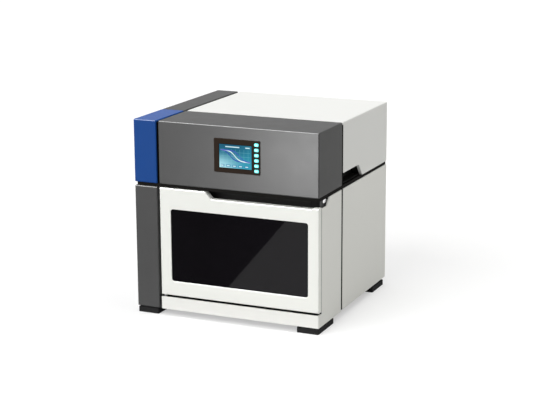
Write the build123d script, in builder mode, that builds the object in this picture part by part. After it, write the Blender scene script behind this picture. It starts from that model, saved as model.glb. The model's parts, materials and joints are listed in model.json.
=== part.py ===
"""Bench-top nucleic acid extractor: a magnetic-rod instrument in a boxy two-tone housing.

Millimetres, +Z up, the front (door and operator panel) faces -Y, and +X is the right-hand side
of someone who stands before it.  The origin is at the centre of the footprint, on the table.
"""
import os

from build123d import *

# ---------------------------------------------------------------- driving dimensions: housing
width = 450.0               # over the side covers
depth = 432.0               # front face to rear edge of the covers
proud = 2.5                 # operator panel at the front and fittings at the rear stand this proud
foot_height = 15.0
lower_height = 285.0        # lower covers, from the base to the shadow gap
shadow_gap = 8.0            # black joint all round between lower and upper covers
upper_height = 144.0        # upper covers
skin = 3.0                  # wall of the covers
edge_round = 2.5            # outer edges of the covers
cover_inset = 6.0           # black inner frame behind the outer faces
frame_inset = 4.0           # mid frame behind the front and left faces
frame_round = 2.0           # its upright corners
column_width = 56.5         # dark column at the left
column_gap = 6.0            # upright joint beside the column
front_depth = 136.0         # front modules, front to back
depth_gap = 8.0             # upright joint behind the front modules
side_lift = 2.5             # rear side cover ends this much above the base
corner_joint = 1.0          # joint between the corner cover and the cover behind it
joint_sink = 0.6            # black filler of the side joints behind the covers' face

# door and front frame
door_thickness = 15.0
door_back_gap = 3.0         # air between the door and its surround
strip_height = 29.0         # white strip under the door
door_low_gap = 5.2          # joint between strip and door
frame_gap = 1.0             # mid frame above the lower covers
door_top_gap = 1.5          # air over the raised corner of the door
grip_drop = 16.0            # how far the door's top edge steps down for the fingers
grip_start = 113.5          # raised part of the door's top edge, from its left end
grip_slope = 15.0           # run of the slanted step
grip_end = 13.0             # low upstand at the free end of the door
grip_end_rise = 2.2
grip_round = 3.0
window_left = 27.0          # window, from the door's left end
window_right = 25.5         # and from its right end
window_low = 34.0           # from the door's lower edge
window_top_rim = 31.8       # door's lowered top edge above the window
window_round = 6.0
window_lip = 1.8            # lip in front of the pane
window_edge = 1.0           # its rounded front edge
window_rebate = 6.0         # pane runs this far behind the frame
pane_thickness = 4.0
door_wall = 3.0
hinge_inset = 6.0           # hinge axis from the door's left end
hinge_depth = 10.0          # and from its face
hinge_rail = 14.0           # solid rail of the door that takes the pins
pin_radius = 2.0
pin_reach = 15.0            # engagement in the door
running_clearance = 0.05
fit_gap = 0.3               # loose fit between moulded pieces
cut_run = 62.0              # finger cut-out in the right side, length at the top
cut_slope = 15.5
trough_reach = 22.0         # finger trough behind the door's top edge
trough_drop = 20.0
trough_end = 26.0           # trough stops this far from the right face
latch_width = 6.0
latch_z = 250.0
button_length = 18.0        # polished door release
button_height = 9.0
button_y = 44.0             # from the front face
button_z = 6.7              # below the mid frame
button_reach = 2.0          # proud of the inner frame
button_travel = 2.0
button_flange = 5.0         # flange that keeps the button in, behind the inner frame's wall

# feet
foot_width = 52.0
front_foot_length = 92.0
rear_foot_length = 76.0
foot_side_inset = 1.0
foot_front_inset = 1.5
foot_rear_inset = 9.0
foot_neck = 3.0             # narrower top of each foot, height
foot_neck_inset = 2.5
foot_recess = 6.0           # round recess for the foot's screw
foot_recess_radius = 5.5

# operator panel
bezel_width = 111.6
bezel_height = 75.9
bezel_proud = 2.0
bezel_left = 138.4          # from the head's left end
bezel_low = 40.3            # from the head's lower edge
bezel_round = 2.0
screen_width = 80.6
screen_height = 55.2
screen_left = 12.0          # from the bezel's left end
screen_low = 9.7
screen_thickness = 1.6
screen_sink = 0.4
key_count = 6
key_width = 10.4
key_height = 7.2
key_round = 2.4
key_pitch = 11.7
key_from_right = 8.7        # key column centre from the bezel's right end
key_thickness = 3.2
key_pocket = 4.4
key_edge = 0.5
panel_border = 2.0          # bezel overlap on the head
panel_depth = 26.0

# hand grip in the right side of the top cover
hand_length = 99.0          # at its upper edge
hand_height = 28.5
hand_slope = 23.0
hand_rim = 7.0              # white rim before the black cup
hand_cup = 22.0

# chassis
sheet = 3.0
base_lip = 14.0
deck_height = 41.0          # deck top above the base
deck_thickness = 4.0
plate_pitch = 96.0          # distance between the two plate seats
plate_width = 85.5          # footprint of a 96-well plate, short side
plate_length = 127.8        # and long side
well_pitch = 9.0
rods_per_row = 8
columns = 12                # wells along the plate
seat_clearance = 0.5
seat_wall = 4.0
seat_wall_height = 4.5
tray_plate = 6.0
tray_travel = 135.0
tray_front_gap = 9.0        # tray from the surround at rest
rail_width = 12.0
rail_height = 8.0
block_width = 27.0
block_wall = 11.9           # bearing block beyond the rail's top
block_lift = 1.5
rail_clearance = 0.1
screw_radius = 4.0
journal_radius = 2.5
screw_rise = 12.0           # tray screw above the deck
tray_gauge = 140.0          # between the tray rails
tray_block = 36.0
heater_depth = 12.0
pocket_radius = 3.6
pocket_depth = 3.0

# lift and magnet rods
lift_width = 192.0
lift_wall = 6.0             # back wall of the chamber, which carries the lift
lift_top = 398.0
lift_travel = 54.0
lift_gauge = 130.0
lift_block = 40.0
carriage_low = 190.0        # underside of the comb plate at rest
carriage_top = 335.0
carriage_plate = 8.0
comb_plate = 8.0
comb_slot = 10.0
cheek = 6.0
rod_travel = 50.0
rod_radius = 2.5
rod_spare = 9.0             # air left under the rod bars at the end of the travel
rod_bar = 7.0               # bar that holds a row of rods
rod_bar_depth = 9.0
rod_sides = 12              # facets of each ground rod
rod_lead = 2.0              # rod tips above the comb plate's underside at rest
rod_gauge = 120.0
rod_block = 28.0
rod_plate = 8.0
motor_side = 42.0
motor_length = 40.0
motor_boss_radius = 11.0
motor_boss = 2.0
coupler_radius = 8.5
coupler_length = 22.0
bearing_length = 10.0

# lamp, rear, electronics
lamp_radius = 7.75
lamp_length = 212.0
lamp_drop = 17.0
fan_side_inset = 105.0      # fan centre from the right face
fan_rise = 170.0            # and above the base
fan_thickness = 25.0
fan_bore = 37.5
fan_hub = 17.0
fan_blades = 7
fan_screw_pitch = 71.5
fan_side = fan_screw_pitch + 8.5
guard_rings = (14.0, 22.0, 30.0, 38.0)
guard_sides = 24
guard_wire = 1.8
guard_foot = 8.0
rear_recess = 3.0           # rear panel behind the covers' rear edges
inlet_from_left = 36.0
inlet_rise = 62.0
inlet_width = 30.0
inlet_height = 66.0
screw_head = 7.0
screw_head_height = 2.0

vent_from_left = (112.0, 172.0)
vent_length = 44.0
vent_slot = 4.0
vent_pitch = 10.0
vent_rise = 60.0            # lowest slot above the base
vent_rows = 8
roof_vent_drop = 40.0       # top slot of the upper group below the roof
roof_vent_length = 90.0
roof_vent_rows = 6
panel_screw_inset = 14.0
port_rise = 75.0            # communication port above the mains inlet
port_width = 22.0
port_height = 36.0
supply_width = 50.0
supply_length = 150.0
supply_height = 112.0
supply_wall = 2.0
supply_side_gap = 9.0
supply_rear_gap = 40.0
board_length = 160.0
board_height = 130.0
board_thickness = 1.6
board_standoff = 8.0
board_front_gap = 66.0
board_top_gap = 21.0
post_inset = 5.0
post_radius = 3.0

# ---------------------------------------------------------------- places that follow
left, right = -width / 2, width / 2
front, back = -depth / 2, depth / 2
base_z = foot_height
seam_low = base_z + lower_height
seam_high = seam_low + shadow_gap
top = seam_high + upper_height
column_right = left + column_width
main_left = column_right + column_gap
module_back = front + front_depth
rear_front = module_back + depth_gap
strip_top = base_z + strip_height
door_low = strip_top + door_low_gap
frame_low = seam_low + frame_gap
frame_top = frame_low + sheet
door_top = frame_low - door_top_gap
door_grip_top = door_top - grip_drop
door_back = front + door_thickness
surround_front = door_back + door_back_gap
surround_back = surround_front + sheet
frame_right = right - cover_inset
wall_right = frame_right - sheet
wall_left = main_left + 10.0
middle = (wall_left + wall_right) / 2
rear_out = back - rear_recess
rear_in = rear_out - sheet
deck_top = base_z + deck_height
trough_x = (main_left + grip_start - 5.0, right - trough_end)
trough_rear = surround_front + trough_reach
trough_low = door_grip_top - trough_drop
window_x = (main_left + window_left, right - window_right)
window_z = (door_low + window_low, door_grip_top - window_top_rim)
window_height = window_z[1] - window_z[0]
opening_x = (wall_left + 3.0, window_x[1] + 1.5)
opening_z = (deck_top + 4.0, trough_low - 9.0)
ledge_top = strip_top - 2.0
hinge_x, hinge_y = main_left + hinge_inset, front + hinge_depth
strike_x = wall_right - latch_width / 2 - 1.5
tray_front = surround_back + tray_front_gap
tray_length = plate_length + 2 * (seat_clearance + seat_wall)
tray_back = tray_front + tray_length
tray_middle = tray_front + tray_length / 2
tray_low = deck_top + rail_height + block_wall
tray_top = tray_low + tray_plate
tray_half = (plate_pitch + plate_width) / 2 + seat_clearance + seat_wall
screw_z = deck_top + screw_rise
row_front = tray_middle - (columns - 1) / 2 * well_pitch + tray_travel
row_rear = row_front + columns / 2 * well_pitch
wall_front = tray_back + tray_travel + 8.0
wall_back = wall_front + lift_wall
carriage_back = wall_front - rail_height - block_wall
carriage_front = carriage_back - carriage_plate
lift_screw_y = (carriage_back + wall_front) / 2
rod_back = carriage_front - rail_height - block_wall
rod_front = rod_back - cheek
rod_screw_y = rod_front - coupler_radius - 1.5
comb_front = row_front - 12.0
rod_tip = carriage_low + rod_lead
rod_plate_low = carriage_low + comb_plate + rod_spare + rod_travel + rod_bar
rod_length = rod_plate_low - rod_tip
rod_plate_top = rod_plate_low + rod_plate
rod_half = lift_width / 2 - cheek - 4.0
bezel_x = (main_left + bezel_left, main_left + bezel_left + bezel_width)
bezel_z = (seam_high + bezel_low, seam_high + bezel_low + bezel_height)
panel_x = (bezel_x[0] + panel_border, bezel_x[1] - panel_border)
panel_z = (bezel_z[0] + panel_border, bezel_z[1] - panel_border)
inlet_x, inlet_z = left + inlet_from_left, base_z + inlet_rise
port_z = inlet_z + port_rise
fan_x, fan_z = right - fan_side_inset, base_z + fan_rise
button_mid = (front + button_y, frame_low - button_z)


def slab(x, y, z, mode=Mode.ADD):
    """A rectangular block between two values on each axis."""
    with Locations(((x[0] + x[1]) / 2, (y[0] + y[1]) / 2, (z[0] + z[1]) / 2)):
        Box(x[1] - x[0], y[1] - y[0], z[1] - z[0], mode=mode)


def around(centre, half):
    """The range that reaches half to each side of centre."""
    return (centre - half, centre + half)


def grown(span, amount):
    """The range made longer by amount at both ends."""
    return (span[0] - amount, span[1] + amount)


def rod_z(x, y, z, radius, mode=Mode.ADD):
    """An upright cylinder between two heights."""
    with Locations((x, y, (z[0] + z[1]) / 2)):
        Cylinder(radius, z[1] - z[0], mode=mode)


def rod_y(x, y, z, radius, mode=Mode.ADD):
    """A cylinder along Y between two values of Y."""
    with Locations((x, (y[0] + y[1]) / 2, z)):
        Cylinder(radius, y[1] - y[0], rotation=(90, 0, 0), mode=mode)


def picked(edges, x=None, y=None, z=None):
    """Edges whose middle lies at the given values."""
    return ShapeList([e for e in edges if all(
        want is None or abs(value - want) < 0.01
        for value, want in ((e.center().X, x), (e.center().Y, y), (e.center().Z, z)))])


os.makedirs("parts", exist_ok=True)

# ================================================================ base and feet
with BuildPart() as base_pan:
    slab((left + skin + fit_gap, wall_right), (front + skin + fit_gap, rear_in),
         (base_z, base_z + base_lip))
    slab((left + skin + fit_gap + sheet, wall_right + 1),
         (front + skin + fit_gap + sheet, rear_in - sheet),
         (base_z + sheet, base_z + base_lip + 1), mode=Mode.SUBTRACT)
base_pan.part.label = "base_pan"
export_step(base_pan.part, "parts/base_pan.step")

with BuildPart() as feet:
    for length, y_front in ((front_foot_length, front + foot_front_inset),
                            (rear_foot_length, back - foot_rear_inset - rear_foot_length)):
        for side in (-1, 1):
            x_mid = side * (width / 2 - foot_side_inset - foot_width / 2)
            y_mid = y_front + length / 2
            for low, high, inset in ((0, base_z - foot_neck, 0), (base_z - foot_neck, base_z,
                                                                  foot_neck_inset)):
                with BuildSketch(Plane.XY.offset(low)):
                    with Locations((x_mid, y_mid)):
                        RectangleRounded(foot_width - 2 * inset, length - 2 * inset, edge_round)
                extrude(amount=high - low)
            rod_z(x_mid, y_mid, (-1, foot_recess), foot_recess_radius, mode=Mode.SUBTRACT)
feet.part.label = "feet"
export_step(feet.part, "parts/feet.step")

# ================================================================ outer covers
with BuildPart() as left_lower_cover:
    slab((left, column_right), (front, back), (base_z, seam_low))
    fillet(picked(left_lower_cover.edges(), y=front)
           + picked(left_lower_cover.edges(), x=left, z=seam_low), edge_round)
    slab((left + skin, column_right - skin), (front + skin, back + 1), (base_z - 1, seam_low - skin),
         mode=Mode.SUBTRACT)
    # behind the front edge the right wall stops at the door surround
    slab((column_right - skin - 1, column_right + 1), (surround_back, back + 1),
         (base_z - 1, seam_low - skin), mode=Mode.SUBTRACT)
    slab((column_right - skin - 1, column_right + 1), (front + skin, surround_back),
         (base_z - 1, base_z + base_lip + 1), mode=Mode.SUBTRACT)
left_lower_cover.part.label = "left_lower_cover"
export_step(left_lower_cover.part, "parts/left_lower_cover.step")

with BuildPart() as corner_cover:
    slab((left, column_right), (front, module_back), (seam_high, top))
    fillet(ShapeList([e for e in corner_cover.edges() if abs(e.center().Y - module_back) > 1]),
           edge_round)
    slab((left + skin, column_right - skin), (front + skin, module_back + 1),
         (seam_high + skin, top - skin), mode=Mode.SUBTRACT)
corner_cover.part.label = "corner_cover"
export_step(corner_cover.part, "parts/corner_cover.step")

with BuildPart() as left_upper_cover:
    slab((left, column_right), (module_back + corner_joint, back), (seam_high, top))
    fillet(picked(left_upper_cover.edges(), x=left, z=top)
           + picked(left_upper_cover.edges(), x=column_right, z=top), edge_round)
    slab((left + skin, column_right - skin), (module_back + corner_joint + skin, back + 1),
         (seam_high - 1, top - skin), mode=Mode.SUBTRACT)
    slab((column_right - skin - 1, column_right + 1), (rear_in - fit_gap, back + 1),
         (seam_high - 1, top - skin), mode=Mode.SUBTRACT)
left_upper_cover.part.label = "left_upper_cover"
export_step(left_upper_cover.part, "parts/left_upper_cover.step")

with BuildPart() as head_cover:
    slab((main_left, right), (front, module_back), (seam_high, top))
    fillet(ShapeList([e for e in head_cover.edges() if abs(e.center().Y - module_back) > 1]),
           edge_round)
    slab((main_left + skin, right - skin), (front + skin, module_back + 1),
         (seam_high + skin, top - skin), mode=Mode.SUBTRACT)
    slab(grown(panel_x, fit_gap), around(front, 2 * skin), grown(panel_z, fit_gap),
         mode=Mode.SUBTRACT)
head_cover.part.label = "head_cover"
export_step(head_cover.part, "parts/head_cover.step")

with BuildPart() as top_cover:
    slab((main_left, right), (rear_front, back), (seam_high, top))
    fillet(ShapeList([e for e in top_cover.edges()
                      if abs(e.center().Z - top) < 0.01 and abs(e.center().Y - back) > 1])
           + picked(top_cover.edges(), x=right, y=rear_front), edge_round)
    slab((main_left + skin, right - skin), (rear_front + skin, back + 1),
         (seam_high - 1, top - skin), mode=Mode.SUBTRACT)
    slab((main_left - 1, main_left + skin + 1), (rear_in - fit_gap, back + 1),
         (seam_high - 1, top - skin), mode=Mode.SUBTRACT)
    # deeper rim round the hand grip, open towards the joint in front of it
    with BuildSketch(Plane.YZ.offset(right - hand_rim)):
        with BuildLine():
            Polyline((rear_front + skin / 2, seam_high),
                     (rear_front + skin / 2, seam_high + hand_height + skin),
                     (rear_front + hand_length + skin, seam_high + hand_height + skin),
                     (rear_front + hand_length + hand_slope + 2 * skin, seam_high), close=True)
        make_face()
    extrude(amount=hand_rim - skin / 2)
    with BuildSketch(Plane.YZ.offset(right - hand_rim - 1)):
        with BuildLine():
            Polyline((rear_front - 20, seam_high - 20), (rear_front - 20, seam_high + hand_height),
                     (rear_front + hand_length, seam_high + hand_height),
                     (rear_front + hand_length + hand_slope, seam_high),
                     (rear_front + hand_length + hand_slope, seam_high - 20), close=True)
        make_face()
    extrude(amount=hand_rim + 2, mode=Mode.SUBTRACT)
top_cover.part.label = "top_cover"
export_step(top_cover.part, "parts/top_cover.step")

with BuildPart() as side_grip_cup:
    cup_x = right - hand_rim - hand_cup
    for inset, mode in ((0.0, Mode.ADD), (sheet, Mode.SUBTRACT)):
        with BuildSketch(Plane.YZ.offset(cup_x + inset)):
            with BuildLine():
                Polyline((rear_front + skin + inset, seam_high + inset),
                         (rear_front + skin + inset, seam_high + hand_height + skin - inset),
                         (rear_front + hand_length + skin - 1.4 * inset,
                          seam_high + hand_height + skin - inset),
                         (rear_front + hand_length + hand_slope + 2 * skin - 2.2 * inset,
                          seam_high + inset), close=True)
            make_face()
        extrude(amount=hand_cup, mode=mode)
side_grip_cup.part.label = "side_grip_cup"
export_step(side_grip_cup.part, "parts/side_grip_cup.step")

with BuildPart() as right_rear_cover:
    slab((frame_right, right), (rear_front, back), (base_z + side_lift, seam_low))
    fillet(picked(right_rear_cover.edges(), x=right, z=seam_low)
           + picked(right_rear_cover.edges(), x=right, y=rear_front), edge_round / 2)
    slab((frame_right - 1, right - skin), (rear_front + skin, back + 1),
         (base_z, seam_low - skin), mode=Mode.SUBTRACT)
right_rear_cover.part.label = "right_rear_cover"
export_step(right_rear_cover.part, "parts/right_rear_cover.step")

# ================================================================ front frame, surround, trough
slot_back = door_back + 1.5                  # black jamb behind the door's free end
cut_low = door_grip_top - 1.0

with BuildPart() as front_frame:
    with BuildSketch(Plane.YZ.offset(right - skin)):
        with BuildLine():
            Polyline((front, base_z), (front, strip_top), (surround_front, strip_top),
                     (surround_front, cut_low), (front + cut_run - cut_slope, cut_low),
                     (front + cut_run, seam_low), (module_back, seam_low),
                     (module_back, base_z), close=True)
        make_face()
    extrude(amount=skin)
    slab((main_left, right), (front, front + skin), (base_z, strip_top))
    # returns that seat on the inner frame
    slab((frame_right, right - skin), (module_back - skin, module_back), (base_z, seam_low))
    slab((frame_right, right - skin), (front + cut_run + skin, module_back),
         (seam_low - skin, seam_low))
    fillet(picked(front_frame.edges().filter_by(Axis.Z), x=right, y=front), edge_round)
    fillet(picked(front_frame.edges().filter_by(Axis.Z), x=right, y=module_back)
           + picked(front_frame.edges().filter_by(Axis.Y), x=right, z=seam_low)
           + picked(front_frame.edges().filter_by(Axis.Y), x=right, z=cut_low), edge_round / 2)
front_frame.part.label = "front_frame"
export_step(front_frame.part, "parts/front_frame.step")

with BuildPart() as door_surround:
    slab((column_right, frame_right), (surround_front, surround_back), (base_z + sheet, frame_low))
    slab(opening_x, around(surround_front, 9), opening_z, mode=Mode.SUBTRACT)
    slab(trough_x, around(surround_front, 9), (trough_low, frame_low + 1), mode=Mode.SUBTRACT)
    slab(around(strike_x, latch_width / 2 + 1), around(surround_front, 9), around(latch_z, 9),
         mode=Mode.SUBTRACT)
    # jamb between the door's free end and the side cover
    slab((frame_right, right - joint_sink), (slot_back, surround_front), (strip_top, cut_low))
    slab((frame_right, right - skin), (surround_front, surround_back), (strip_top, cut_low))
    # ledge that closes the joint over the strip
    slab((main_left, frame_right), (front + skin, surround_front), (ledge_top - sheet, ledge_top))
door_surround.part.label = "door_surround"
export_step(door_surround.part, "parts/door_surround.step")

with BuildPart() as grip_trough:
    slab(grown(trough_x, sheet), (surround_back, trough_rear + sheet), (trough_low - sheet, frame_low))
    slab(trough_x, (surround_front, trough_rear), (trough_low, frame_low + 1), mode=Mode.SUBTRACT)
grip_trough.part.label = "grip_trough"
export_step(grip_trough.part, "parts/grip_trough.step")

with BuildPart() as latch_body:
    latch_back = button_mid[0] + button_length / 2 + 8
    slab((trough_x[1] + sheet + fit_gap, wall_right), (surround_back, latch_back),
         (latch_z - 14, frame_low))
    slab(around(strike_x, latch_width / 2 + 1), (surround_back - 1, surround_back + 14),
         around(latch_z, 9), mode=Mode.SUBTRACT)
    with BuildSketch(Plane.YZ.offset(wall_right)):
        with Locations(button_mid):
            SlotOverall(button_length + 3, button_height + 3)
    extrude(amount=-(button_flange + button_travel + 1), mode=Mode.SUBTRACT)
latch_body.part.label = "latch_body"
export_step(latch_body.part, "parts/latch_body.step")

with BuildPart() as release_button:
    with BuildSketch(Plane.YZ.offset(wall_right - button_flange)):
        with Locations(button_mid):
            SlotOverall(button_length, button_height)
    extrude(amount=button_flange + sheet + button_reach)
    chamfer(release_button.faces().sort_by(Axis.X)[-1].edges(), 0.8)
    with BuildSketch(Plane.YZ.offset(wall_right - button_flange)):
        with Locations(button_mid):
            SlotOverall(button_length + 2, button_height + 2)
    extrude(amount=1.5)
release_button.part.label = "release_button"
export_step(release_button.part, "parts/release_button.step")

# ================================================================ mid frame and joint arch
with BuildPart() as mid_frame:
    frame_x = (left + frame_inset, right - joint_sink)
    frame_y = (front + frame_inset, rear_out)
    with BuildSketch(Plane.XY.offset(frame_low)):
        with Locations((sum(frame_x) / 2, sum(frame_y) / 2)):
            RectangleRounded(frame_x[1] - frame_x[0], frame_y[1] - frame_y[0], frame_round)
    extrude(amount=seam_high - frame_low)
    slab(grown(frame_x, -sheet), grown(frame_y, -sheet), (frame_top, seam_high + 1),
         mode=Mode.SUBTRACT)
    slab(around(middle, lift_width / 2 + 6), (comb_front - 8, wall_back + 12),
         around(frame_low, 9), mode=Mode.SUBTRACT)
    rod_z(hinge_x, hinge_y, (frame_low - 1, frame_top + 1), pin_radius + running_clearance,
          mode=Mode.SUBTRACT)
mid_frame.part.label = "mid_frame"
export_step(mid_frame.part, "parts/mid_frame.step")

with BuildPart() as joint_arch:
    slab((main_left + skin, right - joint_sink), (module_back, rear_front),
         (seam_high, top - cover_inset))
    slab((main_left + skin + sheet, frame_right - sheet), (module_back - 1, rear_front + 1),
         (seam_high - 1, top - cover_inset - sheet), mode=Mode.SUBTRACT)
    # filler of the joint beside the column
    slab((column_right, main_left), (front + frame_inset, rear_in), (seam_high, top - frame_inset))
    # lower length of the side joint, on the inner frame
    slab((frame_right, right - joint_sink), (module_back, rear_front), (base_z + side_lift, seam_low))
joint_arch.part.label = "joint_arch"
export_step(joint_arch.part, "parts/joint_arch.step")

with BuildPart() as hinge_pins:
    rod_z(hinge_x, hinge_y, (door_top - pin_reach, frame_top), pin_radius)
    rod_z(hinge_x, hinge_y, (ledge_top, door_low + pin_reach), pin_radius)
    rod_z(hinge_x, hinge_y, (ledge_top, door_low - fit_gap), pin_radius + 2)
hinge_pins.part.label = "hinge_pins"
export_step(hinge_pins.part, "parts/hinge_pins.step")

# ================================================================ door
def door_outline(inset=0.0):
    """Front view (X, Z) of the door, stepped along its top edge, moved in by inset."""
    low, high = door_low + inset, door_top - inset
    grip = door_grip_top - inset
    Polygon((main_left + inset, low), (right - inset, low), (right - inset, grip + grip_end_rise),
            (right - grip_end - inset, grip + grip_end_rise), (right - grip_end - 6 - inset, grip),
            (main_left + grip_start + grip_slope - inset / 2, grip),
            (main_left + grip_start - inset / 2, high), (main_left + inset, high), align=None)


window_middle = (sum(window_x) / 2, sum(window_z) / 2)
window_width = window_x[1] - window_x[0]
pane_front = front + window_lip
pane_back = pane_front + pane_thickness

with BuildPart() as door_frame:
    with BuildSketch(Plane.XZ.offset(-door_back)):
        door_outline()
    extrude(amount=door_thickness)
    fillet(picked(door_frame.edges().filter_by(Axis.Y), x=main_left + grip_start)
           + picked(door_frame.edges().filter_by(Axis.Y), x=main_left + grip_start + grip_slope),
           grip_round)
    fillet(picked(door_frame.edges(), y=front), edge_round)
    fillet(picked(door_frame.edges().filter_by(Axis.Z), x=main_left, y=door_back), edge_round / 1.5)
    with BuildSketch(Plane.XZ.offset(-door_back)):
        door_outline(door_wall)
        with Locations((main_left, (door_low + door_top) / 2)):
            Rectangle(2 * hinge_rail, 400, mode=Mode.SUBTRACT)
        with Locations(window_middle):
            RectangleRounded(window_width + 2 * (window_rebate + door_wall),
                             window_height + 2 * (window_rebate + door_wall),
                             window_round + window_rebate, mode=Mode.SUBTRACT)
    extrude(amount=door_thickness - door_wall, mode=Mode.SUBTRACT)
    for grow, cut, corner in ((window_rebate, door_back - pane_front, window_round + window_rebate / 2),
                              (0, door_thickness + 1, window_round)):
        with BuildSketch(Plane.XZ.offset(-door_back)):
            with Locations(window_middle):
                RectangleRounded(window_width + 2 * grow, window_height + 2 * grow, corner)
        extrude(amount=cut, mode=Mode.SUBTRACT)
    rim = door_frame.faces().filter_by(Axis.Y).sort_by(Axis.Y)[0].inner_wires()[0]
    fillet(rim.edges(), window_edge)
    rod_z(hinge_x, hinge_y, (door_top - pin_reach - 1, door_top + 1),
          pin_radius + running_clearance, mode=Mode.SUBTRACT)
    rod_z(hinge_x, hinge_y, (door_low - 1, door_low + pin_reach + 1),
          pin_radius + running_clearance, mode=Mode.SUBTRACT)
door_frame.part.label = "door_frame"
export_step(door_frame.part, "parts/door_frame.step")

with BuildPart() as door_window:
    with BuildSketch(Plane.XZ.offset(-pane_back)):
        with Locations(window_middle):
            RectangleRounded(window_width + 2 * (window_rebate - fit_gap),
                             window_height + 2 * (window_rebate - fit_gap), window_round + 2)
    extrude(amount=pane_thickness)
door_window.part.label = "door_window"
export_step(door_window.part, "parts/door_window.step")

with BuildPart() as door_liner:
    with BuildSketch(Plane.XZ.offset(-door_back)):
        door_outline(door_wall + fit_gap)
        with Locations((main_left, (door_low + door_top) / 2)):
            Rectangle(2 * (hinge_rail + fit_gap), 400, mode=Mode.SUBTRACT)
        with Locations(window_middle):
            RectangleRounded(window_width + 2 * (window_rebate + door_wall + fit_gap),
                             window_height + 2 * (window_rebate + door_wall + fit_gap),
                             window_round + window_rebate, mode=Mode.SUBTRACT)
    extrude(amount=door_wall)
door_liner.part.label = "door_liner"
export_step(door_liner.part, "parts/door_liner.step")

with BuildPart() as pane_retainer:
    with BuildSketch(Plane.XZ.offset(-door_back)):
        with Locations(window_middle):
            RectangleRounded(window_width + 2 * (window_rebate - fit_gap),
                             window_height + 2 * (window_rebate - fit_gap), window_round + 2)
            RectangleRounded(window_width + 2, window_height + 2, window_round, mode=Mode.SUBTRACT)
    extrude(amount=door_back - pane_back)
pane_retainer.part.label = "pane_retainer"
export_step(pane_retainer.part, "parts/pane_retainer.step")

with BuildPart() as door_gasket:
    slab(grown(opening_x, 6.5), (door_back, surround_front - fit_gap), grown(opening_z, 6.5))
    slab(grown(opening_x, 1.5), around(door_back, 9), grown(opening_z, 1.5), mode=Mode.SUBTRACT)
door_gasket.part.label = "door_gasket"
export_step(door_gasket.part, "parts/door_gasket.step")

with BuildPart() as door_strike:
    slab(around(strike_x, latch_width / 2), (door_back, surround_back + 10), around(latch_z, 7))
    slab(around(strike_x, latch_width), (surround_back + 1, surround_back + 6),
         (latch_z - 2, latch_z + 8), mode=Mode.SUBTRACT)
door_strike.part.label = "door_strike"
export_step(door_strike.part, "parts/door_strike.step")

# ================================================================ operator panel
screen_x = (bezel_x[0] + screen_left, bezel_x[0] + screen_left + screen_width)
screen_z = (bezel_z[0] + screen_low, bezel_z[0] + screen_low + screen_height)
bezel_front = front - bezel_proud
key_x = bezel_x[1] - key_from_right
key_heights = [sum(bezel_z) / 2 + (i - (key_count - 1) / 2) * key_pitch for i in range(key_count)]

with BuildPart() as panel_bezel:
    with BuildSketch(Plane.XZ.offset(-front)):
        with Locations((sum(bezel_x) / 2, sum(bezel_z) / 2)):
            RectangleRounded(bezel_width, bezel_height, bezel_round)
    extrude(amount=bezel_proud)
    chamfer(picked(panel_bezel.edges(), y=bezel_front), 1.0)
    slab(panel_x, (front, front + panel_depth), panel_z)
    slab(grown(screen_x, fit_gap / 2), (bezel_front - 1, bezel_front + screen_sink + screen_thickness),
         grown(screen_z, fit_gap / 2), mode=Mode.SUBTRACT)
    for height in key_heights:
        with BuildSketch(Plane.XZ.offset(-bezel_front + 1)):
            with Locations((key_x, height)):
                RectangleRounded(key_width + 2 * fit_gap, key_height + 2 * fit_gap, key_round)
        extrude(amount=-key_pocket - 1, mode=Mode.SUBTRACT)
panel_bezel.part.label = "panel_bezel"
export_step(panel_bezel.part, "parts/panel_bezel.step")

with BuildPart() as screen:
    slab(screen_x, (bezel_front + screen_sink, bezel_front + screen_sink + screen_thickness), screen_z)
screen.part.label = "screen"
export_step(screen.part, "parts/screen.step")

for number, height in enumerate(reversed(key_heights), 1):
    with BuildPart() as key:
        with BuildSketch(Plane.XZ.offset(proud - front - key_thickness)):
            with Locations((key_x, height)):
                RectangleRounded(key_width, key_height, key_round)
        extrude(amount=key_thickness)
        chamfer(key.faces().sort_by(Axis.Y)[0].edges(), key_edge)
    key.part.label = f"key_{number}"
    export_step(key.part, f"parts/key_{number}.step")

# ================================================================ chassis
with BuildPart() as chassis_left:
    slab((wall_left - sheet, wall_left), (surround_back, rear_in - sheet - fit_gap),
         (base_z + sheet, frame_low))
chassis_left.part.label = "chassis_left"
export_step(chassis_left.part, "parts/chassis_left.step")

with BuildPart() as chassis_right:
    slab((wall_right, frame_right), (surround_back, rear_in), (base_z, frame_low))
    with BuildSketch(Plane.YZ.offset(wall_right - 1)):
        with Locations(button_mid):
            SlotOverall(button_length + 0.2, button_height + 0.2)
    extrude(amount=sheet + 2, mode=Mode.SUBTRACT)
chassis_right.part.label = "chassis_right"
export_step(chassis_right.part, "parts/chassis_right.step")

with BuildPart() as deck:
    slab((wall_left, wall_right), (surround_back, wall_back), (deck_top - deck_thickness, deck_top))
    slab((wall_left, wall_right), (surround_back, surround_back + sheet),
         (base_z + sheet, deck_top - deck_thickness))
    slab((wall_left, wall_right), (wall_back - sheet, wall_back),
         (base_z + sheet, deck_top - deck_thickness))
deck.part.label = "deck"
export_step(deck.part, "parts/deck.step")

with BuildPart() as lift_wall_plate:
    slab((wall_left, wall_right), (wall_front, wall_back), (deck_top, frame_low))
    slab(around(middle, lift_width / 2), (wall_front, wall_back), (frame_low, lift_top))
    slab(around(middle, motor_side / 2 + 4), (lift_screw_y - motor_side / 2, wall_back),
         (lift_top, lift_top + cheek))
    rod_z(middle, lift_screw_y, (lift_top - 1, lift_top + cheek + 1), motor_boss_radius + fit_gap,
          mode=Mode.SUBTRACT)
    rod_y(middle, (wall_front - 1, wall_back + 1), screw_z, motor_boss_radius + fit_gap,
          mode=Mode.SUBTRACT)
lift_wall_plate.part.label = "lift_wall_plate"
export_step(lift_wall_plate.part, "parts/lift_wall_plate.step")

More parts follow.
